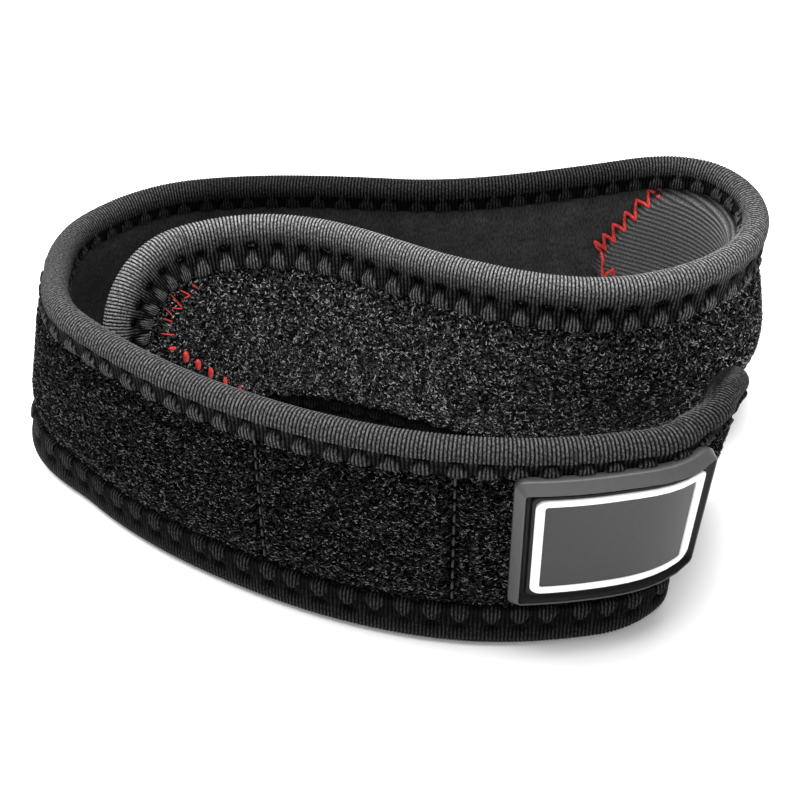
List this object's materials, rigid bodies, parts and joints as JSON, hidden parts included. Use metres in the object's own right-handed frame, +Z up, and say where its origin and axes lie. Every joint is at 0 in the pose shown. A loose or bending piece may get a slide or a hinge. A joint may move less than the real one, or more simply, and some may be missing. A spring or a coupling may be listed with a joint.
{
  "type": "patella strap",
  "caption": "Padded knee strap standing coiled on its edge: loop-fabric outside, knit lining, ribbed edge binding, hook panel and a framed rubber label",
  "frame": {"origin": "under the middle of the coil's bounding box, on the surface that the strap stands on", "axes": "+X to the right along the front, +Y away from the labelled front, +Z up across the band's width"},
  "size_m": [0.1362, 0.0874, 0.0415],
  "materials": {
    "binding_knit": "ribbed elastic knit, matte black",
    "loop_pile": "brushed loop pile, matte black with pale fibre glints",
    "lining_knit": "smooth fine knit, charcoal",
    "hook_tape": "fine diagonal ribs of small hooks, charcoal",
    "label_rubber": "satin moulded rubber",
    "label_line": "matte white line",
    "label_field": "matte moulded rubber, plain"
  },
  "bodies": {
    "root": {"edge_binding": "binding_knit", "loop_fabric": "loop_pile", "lining": "lining_knit", "hook_patch": "hook_tape", "badge_frame": "label_rubber", "badge_border": "label_line", "badge_plate": "label_field"}
  },
  "joints": []
}
